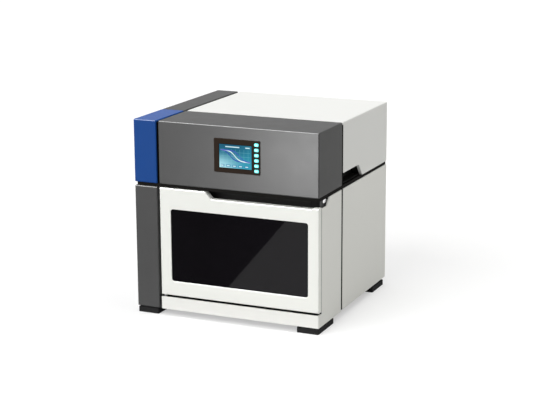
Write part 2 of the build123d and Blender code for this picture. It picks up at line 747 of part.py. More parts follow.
with BuildPart() as linear_rails:
    for side in (-1, 1):
        slab(around(middle + side * tray_gauge / 2, rail_width / 2),
             (surround_back + sheet, wall_front), (deck_top, deck_top + rail_height))
        slab(around(middle + side * lift_gauge / 2, rail_width / 2),
             (wall_front - rail_height, wall_front), (carriage_low - lift_travel - 20, lift_top - 6))
linear_rails.part.label = "linear_rails"
export_step(linear_rails.part, "parts/linear_rails.step")

motor_bore = journal_radius + running_clearance

with BuildPart() as drive_motors:
    slab(around(middle, motor_side / 2), (wall_back, wall_back + motor_length),
         around(screw_z, motor_side / 2))
    rod_y(middle, (wall_back - motor_boss, wall_back), screw_z, motor_boss_radius)
    rod_y(middle, (wall_back - motor_boss - 1, wall_back + 8), screw_z, motor_bore,
          mode=Mode.SUBTRACT)
    motor_face = lift_top + cheek
    slab(around(middle, motor_side / 2), around(lift_screw_y, motor_side / 2),
         (motor_face, motor_face + motor_length))
    rod_z(middle, lift_screw_y, (motor_face - motor_boss, motor_face), motor_boss_radius)
    rod_z(middle, lift_screw_y, (motor_face - motor_boss - 1, motor_face + 8), motor_bore,
          mode=Mode.SUBTRACT)
drive_motors.part.label = "drive_motors"
export_step(drive_motors.part, "parts/drive_motors.step")

lift_bearing_z = (carriage_low - lift_travel - 30, carriage_low - lift_travel - 30 + bearing_length)
with BuildPart() as screw_bearings:
    slab(around(middle, 13), (surround_back + sheet, surround_back + sheet + bearing_length),
         (deck_top, tray_low - 1))
    rod_y(middle, around(surround_back, 30), screw_z, screw_radius + running_clearance,
          mode=Mode.SUBTRACT)
    slab(around(middle, 13), (lift_screw_y - 8, wall_front), lift_bearing_z)
    rod_z(middle, lift_screw_y, grown(lift_bearing_z, 1), screw_radius + running_clearance,
          mode=Mode.SUBTRACT)
screw_bearings.part.label = "screw_bearings"
export_step(screw_bearings.part, "parts/screw_bearings.step")

# ================================================================ tray with plate seats
with BuildPart() as tray:
    slab(around(middle, tray_half), (tray_front, tray_back), (tray_low, tray_top + seat_wall_height))
    for side in (-1, 1):
        slab(around(middle + side * plate_pitch / 2, plate_width / 2 + seat_clearance),
             (tray_front + seat_wall, tray_back - seat_wall), (tray_top, tray_top + 20),
             mode=Mode.SUBTRACT)
        # finger notches at the front of each seat
        slab(around(middle + side * plate_pitch / 2, 18), (tray_front - 1, tray_front + seat_wall + 1),
             (tray_top, tray_top + 20), mode=Mode.SUBTRACT)
    for side in (-1, 1):
        for y_block in (tray_front + 6, tray_back - 6 - tray_block):
            slab(around(middle + side * tray_gauge / 2, block_width / 2), (y_block, y_block + tray_block),
                 (deck_top + block_lift, tray_low))
            slab(around(middle + side * tray_gauge / 2, rail_width / 2 + rail_clearance),
                 grown((y_block, y_block + tray_block), 1),
                 (deck_top, deck_top + rail_height + rail_clearance), mode=Mode.SUBTRACT)
    slab(around(middle, 13), around(tray_middle, 12), (screw_z - 9, tray_low))
    rod_y(middle, around(tray_middle, 13), screw_z, screw_radius + running_clearance,
          mode=Mode.SUBTRACT)
tray.part.label = "tray"
export_step(tray.part, "parts/tray.step")

with BuildPart() as heater_bars:
    for side in (-1, 1):
        for column in (0, columns // 2):
            y_bar = tray_middle + (column - (columns - 1) / 2) * well_pitch
            slab(around(middle + side * plate_pitch / 2, 4.3 * well_pitch), around(y_bar, heater_depth / 2),
                 (tray_top, tray_top + seat_wall_height))
            with BuildSketch(Plane.XY.offset(tray_top + seat_wall_height)):
                with Locations((middle + side * plate_pitch / 2, y_bar)):
                    SlotCenterToCenter((rods_per_row - 1) * well_pitch, 2 * pocket_radius)
            extrude(amount=-pocket_depth, mode=Mode.SUBTRACT)
heater_bars.part.label = "heater_bars"
export_step(heater_bars.part, "parts/heater_bars.step")

with BuildPart() as tray_screw:
    rod_y(middle, (surround_back + sheet, wall_front - 4), screw_z, screw_radius)
    rod_y(middle, (wall_front - 4, wall_back + 6), screw_z, journal_radius)
tray_screw.part.label = "tray_screw"
export_step(tray_screw.part, "parts/tray_screw.step")

# ================================================================ lift carriage and rods
with BuildPart() as lift_carriage:
    slab(around(middle, lift_width / 2), (carriage_front, carriage_back), (carriage_low, carriage_top))
    slab(around(middle, lift_width / 2), (comb_front, carriage_front),
         (carriage_low, carriage_low + comb_plate))
    for side in (-1, 1):
        with BuildSketch(Plane.YZ.offset(middle + side * (lift_width / 2 - cheek / 2) - cheek / 2)):
            with BuildLine():
                Polyline((comb_front, carriage_low), (comb_front, carriage_low + 22),
                         (carriage_front, carriage_top - 40), (carriage_front, carriage_low),
                         close=True)
            make_face()
        extrude(amount=cheek)
        for z_block in (carriage_low + 12, carriage_top - 6 - lift_block):
            slab(around(middle + side * lift_gauge / 2, block_width / 2),
                 (carriage_back, wall_front - block_lift), (z_block, z_block + lift_block))
            slab(around(middle + side * lift_gauge / 2, rail_width / 2 + rail_clearance),
                 (wall_front - rail_height - rail_clearance, wall_front),
                 grown((z_block, z_block + lift_block), 1), mode=Mode.SUBTRACT)
        for row in (row_front, row_rear):
            slab(around(middle + side * plate_pitch / 2, (rods_per_row + 0.2) * well_pitch / 2),
                 around(row, comb_slot / 2), grown((carriage_low, carriage_low + comb_plate), 1),
                 mode=Mode.SUBTRACT)
    # flange for the rod motor, and the nut of the lift screw
    slab(around(middle, motor_side / 2 + 4), (rod_screw_y - motor_side / 2 - 3, carriage_back),
         (carriage_top, carriage_top + cheek))
    rod_z(middle, rod_screw_y, grown((carriage_top, carriage_top + cheek), 1),
          motor_boss_radius + fit_gap, mode=Mode.SUBTRACT)
    slab(around(middle, 13), (carriage_back, wall_front - 3), around((carriage_low + carriage_top) / 2, 14))
    rod_z(middle, lift_screw_y, (carriage_low, carriage_top), screw_radius + running_clearance,
          mode=Mode.SUBTRACT)
    rod_z(middle, rod_screw_y, grown((carriage_low, carriage_low + comb_plate), 1),
          screw_radius + running_clearance, mode=Mode.SUBTRACT)
lift_carriage.part.label = "lift_carriage"
export_step(lift_carriage.part, "parts/lift_carriage.step")

with BuildPart() as rod_rails:
    for side in (-1, 1):
        slab(around(middle + side * rod_gauge / 2, rail_width / 2),
             (carriage_front - rail_height, carriage_front),
             (carriage_low + comb_plate, carriage_top - 2))
rod_rails.part.label = "rod_rails"
export_step(rod_rails.part, "parts/rod_rails.step")

rod_motor_face = carriage_top + cheek
with BuildPart() as rod_motor:
    slab(around(middle, motor_side / 2), around(rod_screw_y, motor_side / 2),
         (rod_motor_face, rod_motor_face + motor_length))
    rod_z(middle, rod_screw_y, (rod_motor_face - motor_boss, rod_motor_face), motor_boss_radius)
    rod_z(middle, rod_screw_y, (rod_motor_face - motor_boss - 1, rod_motor_face + 8), motor_bore,
          mode=Mode.SUBTRACT)
rod_motor.part.label = "rod_motor"
export_step(rod_motor.part, "parts/rod_motor.step")

with BuildPart() as lift_screw:
    rod_z(middle, lift_screw_y, (lift_bearing_z[0], lift_top - coupler_length), screw_radius)
    rod_z(middle, lift_screw_y, (lift_top - coupler_length - 2, lift_top - 2), coupler_radius)
    rod_z(middle, lift_screw_y, (lift_top - 2, motor_face + 6), journal_radius)
lift_screw.part.label = "lift_screw"
export_step(lift_screw.part, "parts/lift_screw.step")

with BuildPart() as rod_screw:
    rod_z(middle, rod_screw_y, (carriage_low + 0.5, carriage_top - coupler_length), screw_radius)
    rod_z(middle, rod_screw_y, (carriage_top - coupler_length - 2, carriage_top - 2), coupler_radius)
    rod_z(middle, rod_screw_y, (carriage_top - 2, rod_motor_face + 6), journal_radius)
rod_screw.part.label = "rod_screw"
export_step(rod_screw.part, "parts/rod_screw.step")

with BuildPart() as rod_carriage:
    slab(around(middle, rod_half), (comb_front, rod_back), (rod_plate_low, rod_plate_top))
    slab(around(middle, rod_half), (rod_front, rod_back), (rod_plate_top, carriage_top - 6))
    for side in (-1, 1):
        for z_block in (rod_plate_low, carriage_top - 8 - rod_block):
            slab(around(middle + side * rod_gauge / 2, block_width / 2),
                 (rod_back, carriage_front - block_lift), (z_block, z_block + rod_block))
            slab(around(middle + side * rod_gauge / 2, rail_width / 2 + rail_clearance),
                 (carriage_front - rail_height - rail_clearance, carriage_front),
                 grown((z_block, z_block + rod_block), 1), mode=Mode.SUBTRACT)
    rod_z(middle, rod_screw_y, (rod_plate_low - 6, rod_plate_top + 4), screw_radius + 5)
    rod_z(middle, rod_screw_y, (rod_plate_low - 7, rod_plate_top + 5),
          screw_radius + running_clearance, mode=Mode.SUBTRACT)
rod_carriage.part.label = "rod_carriage"
export_step(rod_carriage.part, "parts/rod_carriage.step")

with BuildPart() as magnet_rods:
    for side in (-1, 1):
        for row in (row_front, row_rear):
            x_row = middle + side * plate_pitch / 2
            slab(around(x_row, rods_per_row * well_pitch / 2), around(row, rod_bar_depth / 2),
                 (rod_plate_low - rod_bar, rod_plate_low))
            with BuildSketch(Plane.XY.offset(rod_plate_low - rod_bar)):
                with Locations((x_row, row)):
                    with GridLocations(well_pitch, 1, rods_per_row, 1):
                        RegularPolygon(rod_radius, rod_sides)
            extrude(amount=rod_bar - rod_length)
magnet_rods.part.label = "magnet_rods"
export_step(magnet_rods.part, "parts/magnet_rods.step")

# ================================================================ lamp
lamp_y, lamp_z = trough_rear + 30.0, frame_low - lamp_drop
with BuildPart() as uv_lamp:
    with Locations((middle, lamp_y, lamp_z)):
        Cylinder(lamp_radius, lamp_length, rotation=(0, 90, 0))
uv_lamp.part.label = "uv_lamp"
export_step(uv_lamp.part, "parts/uv_lamp.step")

with BuildPart() as lamp_holders:
    for side in (-1, 1):
        x_end = middle + side * lamp_length / 2
        slab((min(x_end, x_end + side * 10), max(x_end, x_end + side * 10)), around(lamp_y, 11),
             (lamp_z - 11, frame_low))
        with Locations((x_end - side * 4, lamp_y, lamp_z)):
            Cylinder(lamp_radius + 1.5, 8, rotation=(0, 90, 0))
            Cylinder(lamp_radius + running_clearance, 8, rotation=(0, 90, 0), mode=Mode.SUBTRACT)
lamp_holders.part.label = "lamp_holders"
export_step(lamp_holders.part, "parts/lamp_holders.step")

# ================================================================ rear
with BuildPart() as rear_panel:
    slab((left + skin + fit_gap, frame_right - fit_gap), (rear_in, rear_out),
         (base_z + sheet, seam_low - skin - fit_gap))
    slab((left + skin + fit_gap, right - skin - fit_gap), (rear_in, rear_out),
         (seam_high + fit_gap, top - skin - fit_gap))
    slab(around(inlet_x, inlet_width / 2 - 2), around(rear_in, 9), around(inlet_z, inlet_height / 2 - 2),
         mode=Mode.SUBTRACT)
    rod_y(fan_x, around(rear_in, 9), fan_z, fan_bore, mode=Mode.SUBTRACT)
    slab(around(inlet_x, port_width / 2), around(rear_in, 9), around(port_z, port_height / 2),
         mode=Mode.SUBTRACT)
    for x_vent in vent_from_left:
        for row in range(vent_rows):
            slab(around(left + x_vent, vent_length / 2), around(rear_in, 9),
                 around(base_z + vent_rise + vent_pitch * row, vent_slot / 2), mode=Mode.SUBTRACT)
    for row in range(roof_vent_rows):
        slab(around(middle, roof_vent_length / 2), around(rear_in, 9),
             around(top - roof_vent_drop - vent_pitch * row, vent_slot / 2), mode=Mode.SUBTRACT)
rear_panel.part.label = "rear_panel"
export_step(rear_panel.part, "parts/rear_panel.step")

pivot_y, pivot_z = rear_out - 1.5, inlet_z + 14
with BuildPart() as power_inlet:
    with BuildSketch(Plane.XZ.offset(-rear_out)):
        with Locations((inlet_x, inlet_z)):
            RectangleRounded(inlet_width + 8, inlet_height, 3)
    extrude(amount=-2)
    slab(around(inlet_x, inlet_width / 2 - 2.3), (rear_in - 18, rear_out),
         around(inlet_z, inlet_height / 2 - 2.3))
    slab(around(inlet_x, 12), (rear_out - 15, back + 5), around(inlet_z - 16, 8.5), mode=Mode.SUBTRACT)
    slab(around(inlet_x, 8), (rear_out - 10, back + 5), around(inlet_z + 14, 11.5), mode=Mode.SUBTRACT)
    for x_pin, z_pin in ((-7, -1.5), (7, -1.5), (0, 2.5)):
        slab(around(inlet_x + x_pin, 1), (rear_out - 15, rear_out - 2),
             around(inlet_z - 16 + z_pin, 2))
    with Locations((inlet_x, pivot_y, pivot_z)):
        Cylinder(1.0, 17, rotation=(0, 90, 0))
power_inlet.part.label = "power_inlet"
export_step(power_inlet.part, "parts/power_inlet.step")

with BuildPart() as power_switch:
    with BuildSketch(Plane.YZ.offset(inlet_x - 7)):
        with BuildLine():
            Polyline((pivot_y - 6, pivot_z - 4), (pivot_y + 4.0, pivot_z - 10.5),
                     (pivot_y + 3.2, pivot_z), (pivot_y + 0.4, pivot_z + 9.6),
                     (pivot_y - 6, pivot_z + 4), close=True)
        make_face()
    extrude(amount=14)
    with Locations((inlet_x, pivot_y, pivot_z)):
        Cylinder(1.0 + running_clearance, 16, rotation=(0, 90, 0), mode=Mode.SUBTRACT)
power_switch.part.label = "power_switch"
export_step(power_switch.part, "parts/power_switch.step")

with BuildPart() as comm_port:
    with BuildSketch(Plane.XZ.offset(-rear_out)):
        with Locations((inlet_x, port_z)):
            RectangleRounded(port_width + 6, port_height + 8, 2)
    extrude(amount=-1.5)
    slab(around(inlet_x, port_width / 2 - fit_gap), (rear_in - 10, rear_out),
         around(port_z, port_height / 2 - fit_gap))
    slab(around(inlet_x, 7.5), (rear_out - 10, back + 5), around(port_z - 9, 6.5), mode=Mode.SUBTRACT)
    slab(around(inlet_x, 6.2), (rear_out - 10, back + 5), around(port_z + 9, 5.5), mode=Mode.SUBTRACT)
comm_port.part.label = "comm_port"
export_step(comm_port.part, "parts/comm_port.step")

with BuildPart() as fan_frame:
    slab(around(fan_x, fan_side / 2), (rear_in - fan_thickness, rear_in), around(fan_z, fan_side / 2))
    rod_y(fan_x, grown((rear_in - fan_thickness, rear_in), 1), fan_z, fan_bore, mode=Mode.SUBTRACT)
    # four struts carry the motor base
    for turn in range(4):
        with Locations(Location((fan_x, rear_in - fan_thickness + 1.5, fan_z), (0, 45 + 90 * turn, 0))):
            with Locations((fan_bore / 2 + 4, 0, 0)):
                Box(fan_bore - 4, 3, 5)
    rod_y(fan_x, (rear_in - fan_thickness, rear_in - fan_thickness + 3), fan_z, fan_hub)
    rod_y(fan_x, (rear_in - fan_thickness, rear_in - fan_thickness + 16), fan_z, 3.0)
fan_frame.part.label = "fan_frame"
export_step(fan_frame.part, "parts/fan_frame.step")

with BuildPart() as fan_rotor:
    rotor_y = (rear_in - fan_thickness + 4, rear_in - 2)
    rod_y(fan_x, rotor_y, fan_z, fan_hub)
    for blade in range(fan_blades):
        with Locations(Location((fan_x, sum(rotor_y) / 2, fan_z), (0, 360 / fan_blades * blade, 0))):
            with Locations(Location((fan_hub + 9, 0, 0), (35, 0, 0))):
                Box(20, 1.5, 20)
    rod_y(fan_x, (rotor_y[0] - 1, rotor_y[0] + 12.5), fan_z, 3.0 + running_clearance,
          mode=Mode.SUBTRACT)
fan_rotor.part.label = "fan_rotor"
export_step(fan_rotor.part, "parts/fan_rotor.step")

with BuildPart() as fan_guard:
    for radius in guard_rings:
        with BuildSketch(Plane.XZ.offset(-(back + proud))):
            with Locations((fan_x, fan_z)):
                RegularPolygon(radius + guard_wire / 2, guard_sides)
                RegularPolygon(radius - guard_wire / 2, guard_sides, mode=Mode.SUBTRACT)
        extrude(amount=guard_wire)
    for turn in (45, 135, 225, 315):
        with Locations(Location((fan_x, back + proud - guard_wire / 2, fan_z), (0, turn, 0))):
            with Locations(((guard_rings[0] + fan_screw_pitch * 0.7071) / 2, 0, 0)):
                Box(fan_screw_pitch * 0.7071 - guard_rings[0], guard_wire, guard_wire)
    for dx in (-fan_screw_pitch / 2, fan_screw_pitch / 2):
        for dz in (-fan_screw_pitch / 2, fan_screw_pitch / 2):
            slab(around(fan_x + dx, guard_foot / 2), (rear_out, back + proud),
                 around(fan_z + dz, guard_foot / 2))
fan_guard.part.label = "fan_guard"
export_step(fan_guard.part, "parts/fan_guard.step")

with BuildPart() as rear_screws:
    screw_x = (left + panel_screw_inset, left / 3, right / 3, frame_right - panel_screw_inset + 4)
    places = [(x, z) for x in screw_x for z in (base_z + panel_screw_inset, seam_low - panel_screw_inset,
                                                top - panel_screw_inset)]
    with BuildSketch(Plane.XZ.offset(-rear_out)):
        with Locations(*places):
            RegularPolygon(screw_head / 2, 6)
    extrude(amount=-screw_head_height)
rear_screws.part.label = "rear_screws"
export_step(rear_screws.part, "parts/rear_screws.step")

# ================================================================ electronics
with BuildPart() as power_supply:
    supply_x = (left + supply_side_gap, left + supply_side_gap + supply_width)
    supply_y = (rear_in - supply_rear_gap - supply_length, rear_in - supply_rear_gap)
    supply_z = (base_z + sheet, base_z + sheet + supply_height)
    slab(supply_x, supply_y, supply_z)
    slab((supply_x[0] - 1, supply_x[1] - supply_wall), grown(supply_y, -supply_wall),
         grown(supply_z, -supply_wall), mode=Mode.SUBTRACT)
    slab((supply_x[0] + supply_width / 2, supply_x[1] - supply_wall),
         grown(supply_y, -supply_wall), (supply_z[0] + supply_wall, supply_z[0] + supply_height / 3))
power_supply.part.label = "power_supply"
export_step(power_supply.part, "parts/power_supply.step")

with BuildPart() as control_board:
    board_x = wall_left - sheet - board_standoff
    board_y = (front + board_front_gap, front + board_front_gap + board_length)
    board_z = (frame_low - board_top_gap - board_height, frame_low - board_top_gap)
    slab((board_x - board_thickness, board_x), board_y, board_z)
    for y_post in grown(board_y, -post_inset):
        for z_post in grown(board_z, -post_inset):
            slab((board_x, wall_left - sheet), around(y_post, post_radius), around(z_post, post_radius))
    for y_share, z_share, size, tall in ((0.25, 0.6, 26, 5), (0.56, 0.65, 18, 4), (0.8, 0.3, 22, 9),
                                         (0.2, 0.2, 14, 12), (0.45, 0.2, 14, 12)):
        slab((board_x - board_thickness - tall, board_x - board_thickness),
             around(board_y[0] + y_share * board_length, size / 2),
             around(board_z[0] + z_share * board_height, size / 2))
control_board.part.label = "control_board"
export_step(control_board.part, "parts/control_board.step")
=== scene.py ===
"""Bench-top nucleic acid extractor: finishes, display, small fittings, studio and camera."""
import bmesh
import bpy
import json
from math import cos, pi, radians, sin
from mathutils import Matrix, Vector


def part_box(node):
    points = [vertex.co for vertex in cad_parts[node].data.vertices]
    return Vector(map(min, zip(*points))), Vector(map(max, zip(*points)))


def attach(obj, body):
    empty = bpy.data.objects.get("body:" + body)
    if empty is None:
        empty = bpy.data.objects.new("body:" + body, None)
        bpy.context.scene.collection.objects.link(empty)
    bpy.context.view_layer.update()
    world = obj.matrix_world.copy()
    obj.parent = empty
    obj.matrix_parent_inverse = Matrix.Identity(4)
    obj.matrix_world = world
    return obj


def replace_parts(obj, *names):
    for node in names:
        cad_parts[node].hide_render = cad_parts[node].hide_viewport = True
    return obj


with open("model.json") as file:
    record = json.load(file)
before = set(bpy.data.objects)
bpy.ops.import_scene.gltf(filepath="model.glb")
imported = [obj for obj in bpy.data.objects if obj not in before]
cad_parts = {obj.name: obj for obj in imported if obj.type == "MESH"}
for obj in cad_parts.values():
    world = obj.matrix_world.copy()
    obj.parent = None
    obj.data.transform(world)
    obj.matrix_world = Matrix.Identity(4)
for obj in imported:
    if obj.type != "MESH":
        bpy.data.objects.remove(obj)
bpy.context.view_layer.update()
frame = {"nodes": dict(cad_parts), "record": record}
scene = bpy.context.scene
scene.view_settings.view_transform = "Standard"


# ---------------------------------------------------------------- shader maths
class Signal:
    """A socket that takes part in ordinary arithmetic."""

    def __init__(self, paint, socket):
        self.paint, self.socket = paint, socket

    def math(self, operation, *others):
        return self.paint.node("Math", {"operation": operation}, self, *others)

    def __add__(self, other):
        return self.math("ADD", other)

    __radd__ = __add__

    def __mul__(self, other):
        return self.math("MULTIPLY", other)

    __rmul__ = __mul__

    def __sub__(self, other):
        return self.math("SUBTRACT", other)

    def __rsub__(self, other):
        return self.paint.node("Math", {"operation": "SUBTRACT"}, other, self)

    def __truediv__(self, other):
        return self.math("DIVIDE", other)

    def __abs__(self):
        return self.math("ABSOLUTE")

    def over(self, level, softness):
        """1 where the signal is past level, 0 before it, with a soft edge."""
        return self.paint.node("MapRange", {"interpolation_type": "SMOOTHSTEP"}, self,
                               level - softness, level + softness, 0.0, 1.0)

    def span(self, low, high, softness):
        """1 between low and high."""
        return self.over(low, softness) * (1 - self.over(high, softness))


class Paint:
    """A material for one finish."""

    def __init__(self, name, **fixed):
        self.material = bpy.data.materials.new(name)
        self.material.use_nodes = True
        self.tree = self.material.node_tree
        self.shader = self.tree.nodes["Principled BSDF"]
        self.place = self.node("TexCoord", {}, out="Object")
        for socket, value in fixed.items():
            self.set(socket.replace("_", " "), value)

    def node(self, kind, settings, *values, out=None, **named):
        """Adds a node: its settings first, then its sockets, each a number, a colour or a signal."""
        node = self.tree.nodes.new("ShaderNode" + kind)
        for name, value in settings.items():
            setattr(node, name, value)
        open_inputs = [socket for socket in node.inputs if socket.enabled]
        for socket, value in zip(open_inputs, values):
            self.feed(socket, value)
        for name, value in named.items():
            self.feed(node.inputs[name.replace("_", " ")], value)
        open_outputs = [socket for socket in node.outputs if socket.enabled]
        return Signal(self, node.outputs[out] if out else open_outputs[0])

    def feed(self, socket, value):
        if isinstance(value, Signal):
            self.tree.links.new(value.socket, socket)
        elif isinstance(value, tuple) and len(value) == 3 and socket.type == "RGBA":
            socket.default_value = (*value, 1)
        else:
            socket.default_value = value

    def set(self, socket, value):
        self.feed(self.shader.inputs[socket], value)

    def axes(self):
        parts = self.node("SeparateXYZ", {}, self.place)
        node = parts.socket.node
        return [Signal(self, node.outputs[axis]) for axis in "XYZ"]

    def noise(self, scale, detail, roughness=0.55, stretch=(1, 1, 1)):
        where = self.node("Mapping", {}, self.place, (0, 0, 0), (0, 0, 0), stretch)
        return self.node("TexNoise", {}, where, Scale=scale, Detail=detail, Roughness=roughness)

    def mix(self, amount, low, high):
        return self.node("Mix", {"data_type": "RGBA"}, amount, low, high)

    def relief(self, height, distance, strength):
        return self.node("Bump", {}, Strength=strength, Distance=distance, Height=height)


def shade(colour, factor):
    """A colour made darker or lighter."""
    return tuple(min(1.0, part * factor) for part in colour)


def moulded(name, colour, roughness, grain, depth, clouds=0.04, coat=0.0, sheen=0.5):
    """Painted or moulded cover: fine grain, slow unevenness in tone and gloss."""
    paint = Paint(name, Coat_Weight=coat, Coat_Roughness=0.12, Specular_IOR_Level=sheen)
    cloud = paint.noise(9.0, 4.0)
    fine = paint.noise(grain, 2.0)
    smudge = paint.noise(38.0, 3.0, 0.6)
    paint.set("Base Color", paint.mix(cloud * 0.7 + smudge * 0.3, shade(colour, 1 - clouds),
                                      shade(colour, 1 + clouds)))
    paint.set("Roughness", roughness + (smudge - 0.5) * 0.09 + (fine - 0.5) * 0.05)
    paint.set("Normal", paint.relief(fine, depth, 0.5))
    return paint.material


def drawn_metal(name, colour, roughness, stretch, scale=900.0):
    """Ground or brushed metal with its lines along one axis."""
    groove = 0.00002
    paint = Paint(name, Metallic=1.0)
    lines = paint.noise(scale, 4.0, 0.6, stretch)
    cloud = paint.noise(14.0, 3.0)
    paint.set("Base Color", paint.mix(lines * 0.6 + cloud * 0.4, shade(colour, 0.86), shade(colour, 1.1)))
    paint.set("Roughness", roughness + (lines - 0.5) * 0.22)
    paint.set("Normal", paint.relief(lines, groove, 0.6))
    return paint.material


# ---------------------------------------------------------------- finishes
# a moulding: colour, roughness, grains in a metre, depth of the grain in metres, unevenness, coat;
# a ground or drawn metal: colour, roughness, stretch of its lines on X, Y and Z, lines in a metre
finishes = {
    "sheet_steel_black": moulded("black_powder_coat", (0.012, 0.012, 0.013), 0.6, 1500, 0.00008),
    "foot_rubber": moulded("foot_rubber", (0.025, 0.025, 0.0255), 0.75, 1100, 0.00012, 0.12, sheen=0.04),
    "dark_cover": moulded("graphite_cover", (0.068, 0.068, 0.068), 0.46, 3200, 0.00002, 0.02, sheen=0.09),
    "blue_cover": moulded("blue_corner_cover", (0.008, 0.059, 0.250), 0.40, 3200, 0.00002, 0.02, sheen=0.06),
    "white_cover": moulded("white_top_cover", (0.785, 0.788, 0.766), 0.42, 2400, 0.00003, 0.012, sheen=0.2),
    "side_cover": moulded("white_side_cover", (0.80, 0.80, 0.765), 0.45, 2400, 0.00003, 0.012, sheen=0.2),
    "black_plastic": moulded("black_moulding", (0.010, 0.0098, 0.0096), 0.5, 1800, 0.00006, sheen=0.04),
    "dark_frame": moulded("shadow_frame", (0.015, 0.0142, 0.0134), 0.6, 2200, 0.00004, sheen=0.006),
    "steel": drawn_metal("ground_steel", (0.44, 0.44, 0.45), 0.3, (1, 0.05, 1)),
    "sheet_steel": moulded("zinc_grey_paint", (0.42, 0.43, 0.44), 0.5, 1600, 0.00005),
    "machined_aluminium": drawn_metal("machined_aluminium", (0.66, 0.67, 0.69), 0.34, (0.06, 1, 1), 700),
    "heater_aluminium": drawn_metal("blasted_aluminium", (0.52, 0.53, 0.55), 0.5, (1, 1, 1), 1600),
    "motor_black": moulded("motor_enamel", (0.02, 0.02, 0.022), 0.4, 1300, 0.00006),
    "white_plastic": moulded("white_moulding", (0.76, 0.76, 0.745), 0.45, 1800, 0.00004, 0.015),
    "bezel_black": moulded("panel_bezel_moulding", (0.026, 0.017, 0.012), 0.45, 2800, 0.00003, sheen=0.08),
    "circuit_board": moulded("solder_mask", (0.01, 0.10, 0.045), 0.3, 600, 0.00004, 0.2, 0.3),
    "door_white": moulded("door_moulding", (0.84, 0.848, 0.805), 0.33, 3000, 0.000015, 0.01, sheen=0.2),
    "seal_rubber": moulded("seal_rubber", (0.02, 0.02, 0.021), 0.75, 1400, 0.00008),
    "rod_steel": drawn_metal("nickel_plate", (0.70, 0.70, 0.71), 0.2, (1, 1, 0.05)),
}


def polished_metal():
    paint = Paint("polished_release", Metallic=1.0)
    wear = paint.noise(420.0, 4.0, 0.7, (1, 0.2, 1))
    paint.set("Base Color", paint.mix(wear, (0.78, 0.78, 0.79), (0.92, 0.92, 0.93)))
    paint.set("Roughness", 0.10 + wear * 0.10)
    return paint.material


def tinted_pane():
    paint = Paint("tinted_pane", Specular_IOR_Level=0.22)
    film = paint.noise(5.0, 2.0)
    dust = paint.noise(240.0, 3.0, 0.7)
    paint.set("Base Color", paint.mix(film, (0.0045, 0.0042, 0.0048), (0.0075, 0.0065, 0.0085)))
    paint.set("Roughness", 0.035 + dust * 0.03)
    paint.set("Alpha", 0.96)
    return paint.material


def lamp_tube():
    paint = Paint("lamp_glass", Coat_Weight=0.6)
    milk = paint.noise(30.0, 3.0)
    paint.set("Base Color", paint.mix(milk, (0.72, 0.76, 0.82), (0.88, 0.90, 0.93)))
    paint.set("Roughness", 0.08 + milk * 0.08)
    paint.set("Alpha", 0.75)
    return paint.material


def glowing_key():
    """Lit translucent keys: nearly white in the middle, cyan at the rim."""
    low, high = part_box("key_6")
    centre, half = (low + high) / 2, (high - low) / 2
    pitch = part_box("key_5")[0].z - low.z
    paint = Paint("cyan_key", Emission_Strength=0.72)
    x, _, z = paint.axes()
    wide = abs(x - centre.x) / half.x
    in_row = ((z - centre.z) / pitch + 0.5).math("FRACT")
    tall = abs(in_row - 0.5) / (half.z / pitch)
    middle = (1 - wide.over(0.62, 0.4)) * (1 - tall.over(0.55, 0.45))
    paint.set("Base Color", paint.mix(middle, (0.10, 0.62, 0.60), (0.35, 0.90, 0.86)))
    paint.set("Emission Color", paint.mix(middle, (0.10, 0.74, 0.76), (0.72, 1.0, 1.0)))
    paint.set("Roughness", 0.28 + paint.noise(300.0, 2.0) * 0.1)
    return paint.material


def display():
    """A running-protocol page on a teal ground: curves over a grid, a header and a row of tiles."""
    low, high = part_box("screen")
    paint = Paint("display_page", Emission_Strength=1.0, Specular_IOR_Level=0.1)
    x, _, z = paint.axes()
    u, v = (x - low.x) / (high.x - low.x), (z - low.z) / (high.z - low.z)
    soft, softer = 0.008, 0.03
    margin = 0.06
    columns, rows, tile_count = 8, 6, 5.4

    ground = paint.mix(v.over(0.45, 0.55), (0.035, 0.36, 0.50), (0.006, 0.10, 0.18))
    lit_corner = (1 - u.over(0.35, 0.5)) * (1 - v.over(0.33, 0.42))
    ground = paint.mix(lit_corner, ground, (0.55, 0.90, 0.95))
    ground = paint.mix(u.over(0.8, 0.3) * 0.4, ground, (0.03, 0.33, 0.45))

    upright = (u * columns).math("FRACT").span(0.0, 0.08, softer)
    level = (v * rows).math("FRACT").span(0.0, 0.10, softer)
    grid = upright + level
    inside = u.span(margin, 1 - margin, soft)
    plot = inside * v.span(0.24, 0.80, soft)
    page = paint.mix(grid.math("MINIMUM", 1.0) * plot * 0.22, ground, (0.30, 0.80, 0.88))

    curves = ((0.16, (0.03, 0.05, 0.40)), (0.02, (0.85, 1.0, 1.0)), (-0.12, (0.05, 0.09, 0.50)))
    steepness, swing, middle, line = -7, 0.22, 0.53, 0.020
    for shift, colour in curves:
        rise = ((u - 0.5 + shift) * steepness).math("TANH") * swing + middle
        page = paint.mix((1 - abs(v - rise).over(line, line / 2)) * plot, page, colour)

    header = v.span(0.865, 0.905, soft) * (u.span(0.20, 0.62, soft) + u.span(0.80, 0.93, soft))
    page = paint.mix(header * 0.9, page, (0.70, 0.95, 1.0))
    in_tile = (u * tile_count).math("FRACT")
    tiles = in_tile.span(0.14, 0.92, softer) * inside * v.span(0.06, 0.17, soft)
    page = paint.mix(tiles * 0.55, page, (0.02, 0.20, 0.42))
    labels = in_tile.span(0.30, 0.74, softer) * inside * v.span(0.10, 0.13, soft)
    page = paint.mix(labels, page, (0.75, 0.98, 1.0))

    # the page goes dark at its rim: painted shade of the bezel's recess
    inside_rim_shade = u.span(0.018, 0.982, 0.004) * v.span(0.026, 0.974, 0.006)
    page = paint.mix(inside_rim_shade, (0.004, 0.002, 0.001), page)
    paint.set("Base Color", (0.004, 0.006, 0.008))
    paint.set("Emission Color", page)
    paint.set("Roughness", 0.12)
    return paint.material


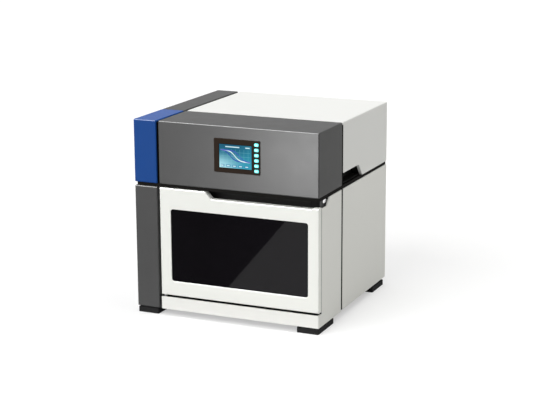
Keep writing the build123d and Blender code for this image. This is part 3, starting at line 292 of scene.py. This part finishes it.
finishes.update(polished_metal=polished_metal(), window_glass=tinted_pane(), lamp_glass=lamp_tube(),
                key_cyan=glowing_key(), screen_glass=display())


def dress(node, finish):
    for place in frame["nodes"][node].material_slots:
        place.material = finish


for row in frame["record"]["subparts"]:
    dress(row["node"], finishes[row["material_slot"]])

# the filler behind the joints is duller than other black mouldings; the finger recess gets a lighter copy of
# the black moulding, painted light against the shade in the recess
dress("joint_arch", moulded("joint_filler", (0.0030, 0.0028, 0.0025), 0.6, 2200, 0.00004, sheen=0.006))
dress("grip_trough", moulded("recess_moulding", (0.042, 0.041, 0.040), 0.5, 1800, 0.00006, sheen=0.1))


# ---------------------------------------------------------------- small fittings
def fitting(name, body, slot, shape):
    """Turns a finished bmesh into a piece that rides on a body."""
    bmesh.ops.recalc_face_normals(shape, faces=shape.faces)
    mesh = bpy.data.meshes.new(name)
    shape.to_mesh(mesh)
    shape.free()
    mesh.materials.append(finishes[slot])
    piece = bpy.data.objects.new(name, mesh)
    scene.collection.objects.link(piece)
    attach(piece, body)
    return piece


def facing_back(centre):
    """Places a shape made along Z so that it looks to the back."""
    return Matrix.Translation(centre) @ Matrix.Rotation(-pi / 2, 4, "X")


def round_bar(shape, radius, length, facets, matrix):
    """A closed cylinder, or a prism with few facets."""
    bmesh.ops.create_cone(shape, cap_ends=True, segments=facets, radius1=radius, radius2=radius,
                          depth=length, matrix=matrix)


def loose_parts(node):
    """Corner lists of the separate solids in a node's mesh."""
    shape = bmesh.new()
    shape.from_mesh(frame["nodes"][node].data)
    bmesh.ops.remove_doubles(shape, verts=shape.verts, dist=1e-6)
    seen = set()
    parts = []
    for first in shape.verts:
        if first in seen:
            continue
        seen.add(first)
        waiting = [first]
        part = []
        while waiting:
            vert = waiting.pop()
            part.append(vert.co.copy())
            for edge in vert.link_edges:
                other = edge.other_vert(vert)
                if other not in seen:
                    seen.add(other)
                    waiting.append(other)
        parts.append(part)
    shape.free()
    return parts


# hexagon sockets in the rear panel's screws, and every slot, are thin black films on the heads: painted
# shade in place of the recesses
film = 0.00005
socket_radius = 0.0017
socket_shade_films = bmesh.new()
for part in loose_parts("rear_screws"):
    middle = sum(part, Vector()) / len(part)
    middle.y = max(corner.y for corner in part)
    round_bar(socket_shade_films, socket_radius, 2 * film, 6, facing_back(middle))
fitting("screw_sockets", "housing", "black_plastic", socket_shade_films)


def pan_heads(name, body, slot, places, radius, height):
    """Domed screw heads that look to the back, each with a cross slot drawn as a thin black film: painted
    shade in place of the recess.
    """
    slot_length, slot_width = 1.1 * radius, 0.3 * radius
    heads, slot_shades = bmesh.new(), bmesh.new()
    for place in places:
        dome = facing_back(place) @ Matrix.Diagonal((radius, radius, height, 1))
        bmesh.ops.create_uvsphere(heads, u_segments=20, v_segments=10, radius=1.0, matrix=dome)
        top = Matrix.Translation(Vector(place) + Vector((0, height, 0)))
        for across, up in ((slot_length, slot_width), (slot_width, slot_length)):
            bmesh.ops.create_cube(slot_shades, size=1.0, matrix=top @ Matrix.Diagonal((across, 2 * film, up, 1)))
    fitting(name, body, slot, heads)
    fitting(name + "_slots", body, "black_plastic", slot_shades)


def wire_ring(shape, centre, radius, wire, steps):
    """A ring of round wire that lies in the back's plane."""
    facets = 10
    start = Matrix.Translation(centre + Vector((radius, 0, 0))) @ Matrix.Rotation(-pi / 2, 4, "Z")
    circle = bmesh.ops.create_circle(shape, segments=facets, radius=wire, matrix=start)["verts"]
    edges = [edge for edge in shape.edges if edge.verts[0] in circle]
    bmesh.ops.spin(shape, geom=circle + edges, cent=centre, axis=(0, 1, 0), angle=2 * pi, steps=steps,
                   use_merge=True)


def fan_wire_guard():
    """Wire rings, spokes that end in eyelets, and a standoff with a screw in each eyelet."""
    wire, foot_radius, head_room = 0.0009, 0.004, 0.0017
    eyelet_radius = 0.0036
    ring_radii = (0.014, 0.022, 0.030, 0.038)
    low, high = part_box("fan_guard")
    hub = Vector(((low.x + high.x) / 2, high.y - wire, (low.z + high.z) / 2))
    pitch = (high.x - low.x) / 2 - foot_radius
    guard = bmesh.new()
    for radius in ring_radii:
        wire_ring(guard, hub, radius, wire, steps=56)
    seats = []
    for across, up in ((-1, -1), (-1, 1), (1, -1), (1, 1)):
        way = Vector((across, 0, up))
        eyelet = hub + way * pitch
        inner = hub + way.normalized() * ring_radii[0]
        outer = eyelet - way.normalized() * eyelet_radius
        spoke = Matrix.Translation((inner + outer) / 2) @ way.to_track_quat("Z", "Y").to_matrix().to_4x4()
        round_bar(guard, wire, (outer - inner).length, 12, spoke)
        wire_ring(guard, eyelet, eyelet_radius, wire, steps=24)
        seat = Vector((eyelet.x, high.y - head_room, eyelet.z))
        standoff = facing_back((seat.x, (seat.y + low.y) / 2, seat.z))
        round_bar(guard, foot_radius, seat.y - low.y, 28, standoff)
        seats.append(seat)
    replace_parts(fitting("wire_guard", "housing", "steel", guard), "fan_guard")
    pan_heads("guard_screws", "housing", "steel", seats, radius=0.0026, height=0.0015)


def pane_screws():
    """Eight small screws inside the door that hold the pane's retainer."""
    rim = 0.0026
    low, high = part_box("pane_retainer")
    centre = (low + high) / 2
    places = [(x, high.y, z) for x in (low.x + rim, centre.x, high.x - rim)
              for z in (low.z + rim, centre.z, high.z - rim) if (x, z) != (centre.x, centre.z)]
    pan_heads("retainer_screws", "door", "steel", places, radius=0.0019, height=0.0008)


def thread(node, axis):
    """Helical ridges along the full-diameter length of a lead screw, one for each start."""
    radius, lead, starts, rise = 0.004, 0.008, 2, 0.0004
    steps = 28                  # of one turn
    same_radius = 3e-5
    low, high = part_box(node)
    centre = (low + high) / 2
    along, first, second = (Vector([float(way == one) for way in range(3)])
                            for one in (axis, *sorted({0, 1, 2} - {axis})))
    reach = []
    for corner in frame["nodes"][node].data.vertices:
        out = corner.co - centre
        out[axis] = 0
        if abs(out.length - radius) < same_radius:
            reach.append(corner.co[axis])
    half = 0.3 * lead / starts
    start, end = min(reach) + half, max(reach) - half
    centre[axis] = start
    section = ((radius - rise, -half), (radius + rise, 0.0), (radius - rise, half))
    # the spin operator needs many seconds for a helix this long, so its corners are placed here
    shape = bmesh.new()
    for ridge in range(starts):
        before = None
        for step in range(int((end - start) / lead * steps) + 1):
            turn = 2 * pi * (step / steps + ridge / starts)
            outward = first * cos(turn) + second * sin(turn)
            foot = centre + along * (lead * step / steps)
            here = [shape.verts.new(foot + outward * out + along * shift) for out, shift in section]
            if before:
                for one, two in ((0, 1), (1, 2), (2, 0)):
                    shape.faces.new((before[one], before[two], here[two], here[one]))
            else:
                shape.faces.new(here)
            before = here
        shape.faces.new(before)
    fitting(node + "_thread", node, "steel", shape)


fan_wire_guard()
pane_screws()
thread("lift_screw", 2)
thread("rod_screw", 2)
thread("tray_screw", 1)


# ---------------------------------------------------------------- studio
def sheen_lamp(name, place, target, size, power):
    """A soft lamp that faces a target, adds gloss alone and stays out of the picture."""
    lamp = bpy.data.lights.new(name, "AREA")
    lamp.shape = "RECTANGLE"
    lamp.size, lamp.size_y = size
    lamp.energy = power
    holder = bpy.data.objects.new(name, lamp)
    scene.collection.objects.link(holder)
    holder.location = place
    holder.rotation_euler = (Vector(target) - Vector(place)).to_track_quat("-Z", "Y").to_euler()
    holder.visible_diffuse = holder.visible_camera = False
    return holder


def far_softbox(name, way, strength, angle, gloss_alone=False, tint=(1, 1, 1)):
    """A sun lamp that stands in for a large softbox far away: even over the whole floor."""
    lamp = bpy.data.lights.new(name, "SUN")
    lamp.energy = strength
    lamp.angle = radians(angle)
    lamp.color = tint
    holder = bpy.data.objects.new(name, lamp)
    scene.collection.objects.link(holder)
    holder.rotation_euler = (-Vector(way)).to_track_quat("-Z", "Y").to_euler()
    holder.visible_glossy = gloss_alone
    holder.visible_diffuse = not gloss_alone
    return holder


def only_on(lamp, *names):
    """Keeps a lamp off everything but the named covers."""
    group = bpy.data.collections.new(lamp.name + "_covers")
    for name in names:
        group.objects.link(frame["nodes"][name])
    lamp.light_linking.receiver_collection = group


far_softbox("front_softbox", (-0.35, -0.75, 0.55), strength=1.95, angle=50)
far_softbox("top_softbox", (0.05, 0.1, 1.0), strength=1.0, angle=60)
far_softbox("side_softbox", (0.8, 0.2, 0.45), strength=0.15, angle=50, tint=(1.0, 1.0, 0.72))
only_on(far_softbox("edge_light", (-0.37, -0.55, 0.72), strength=70.0, angle=22, gloss_alone=True),
        "head_cover", "corner_cover", "left_lower_cover", "front_frame", "door_frame", "right_rear_cover")
only_on(sheen_lamp("head_sheen", place=(0.02, -0.85, 0.29), target=(0.2, -0.216, 0.38),
                   size=(0.25, 0.14), power=25.0), "head_cover")
only_on(far_softbox("corner_softbox", (-0.1, 0.1, 1.0), strength=1.6, angle=50), "corner_cover")

room_light = 0.45               # of the world on the object; the camera, metal and glass see white
world = bpy.data.worlds.new("studio")
scene.world = world
world.use_nodes = True
tree = world.node_tree
backdrop = tree.nodes["Background"]
rays = tree.nodes.new("ShaderNodeLightPath")
shown = rays.outputs["Is Camera Ray"]
for kind in ("Is Transmission Ray", "Is Glossy Ray"):
    either = tree.nodes.new("ShaderNodeMath")
    either.operation = "MAXIMUM"
    tree.links.new(shown, either.inputs[0])
    tree.links.new(rays.outputs[kind], either.inputs[1])
    shown = either.outputs[0]
level = tree.nodes.new("ShaderNodeMapRange")
level.inputs["To Min"].default_value = room_light
level.inputs["To Max"].default_value = 1.0
tree.links.new(shown, level.inputs["Value"])
tree.links.new(level.outputs[0], backdrop.inputs["Strength"])
backdrop.inputs["Color"].default_value = (1, 1, 1, 1)


def staged(name, shape, paint):
    """A piece of the studio, made from a finished bmesh."""
    mesh = bpy.data.meshes.new(name)
    shape.to_mesh(mesh)
    shape.free()
    mesh.materials.append(paint.material)
    piece = bpy.data.objects.new(name, mesh)
    scene.collection.objects.link(piece)
    return piece


floor_reach = 12.0
floor_tone, floor_glow = 0.56, 0.45     # together they show white under the lamps
floor_shape = bmesh.new()
bmesh.ops.create_grid(floor_shape, x_segments=1, y_segments=1, size=floor_reach)
ground = Paint("pale_floor", Roughness=0.9, Specular_IOR_Level=0.0)
ground.set("Base Color", (floor_tone, floor_tone, floor_tone))
ground.set("Emission Color", (1, 1, 1))
camera_ray, glossy_ray, clear_ray = (ground.node("LightPath", {}, out=f"Is {kind} Ray")
                                     for kind in ("Camera", "Glossy", "Transmission"))
white_to = camera_ray.math("MAXIMUM", glossy_ray.math("MAXIMUM", clear_ray))
ground.set("Emission Strength", white_to * floor_glow)
floor = staged("floor", floor_shape, ground)

# a dark card before the door, seen only as a reflection: its slanted edge crosses the window
card_y = -0.42
card_left, card_low, card_top = -0.9, 0.001, 0.215
edge_low, edge_high = Vector((-0.0942, 0.0132)), Vector((0.0555, 0.1917))      # x and z on the slanted edge
lean = (edge_high.x - edge_low.x) / (edge_high.y - edge_low.y)
card_right_low = edge_low.x - lean * edge_low.y
card_right_top = edge_high.x + lean * (card_top - edge_high.y)
card_shape = bmesh.new()
card_shape.faces.new([card_shape.verts.new((x, card_y, z)) for x, z in (
    (card_left, card_low), (card_right_low, card_low), (card_right_top, card_top), (card_left, card_top))])
card = staged("dark_card", card_shape, Paint("dark_card", Base_Color=(0, 0, 0), Roughness=1.0,
                                             Specular_IOR_Level=0.0))
card.visible_camera = card.visible_diffuse = card.visible_shadow = card.visible_transmission = False

# ---------------------------------------------------------------- camera
picture_width, picture_height = 545, 420                # pixels
focal_pixels = 1481.43
axis_right, axis_down = 300.29, 197.91                  # where the lens's axis meets the picture, pixels
sensor = 36.0
turn, tilt = radians(22.80), radians(13.43)
target = Vector((0, 0, 0.2335))
distance, aside, above = 3.4813, 0.08366, 0.00891       # of the lens from the target
behind = Vector((sin(turn) * cos(tilt), -cos(turn) * cos(tilt), sin(tilt)))
across = Vector((cos(turn), sin(turn), 0))
upward = behind.cross(across)
lens = bpy.data.cameras.new("camera")
lens.sensor_width = sensor
lens.lens = focal_pixels / picture_width * sensor
lens.shift_x = (picture_width / 2 - axis_right) / picture_width
lens.shift_y = (axis_down - picture_height / 2) / picture_width
camera = bpy.data.objects.new("camera", lens)
scene.collection.objects.link(camera)
spot = target + behind * distance + across * aside + upward * above
camera.matrix_world = Matrix.Translation(spot) @ Matrix((across, upward, behind)).transposed().to_4x4()
scene.camera = camera
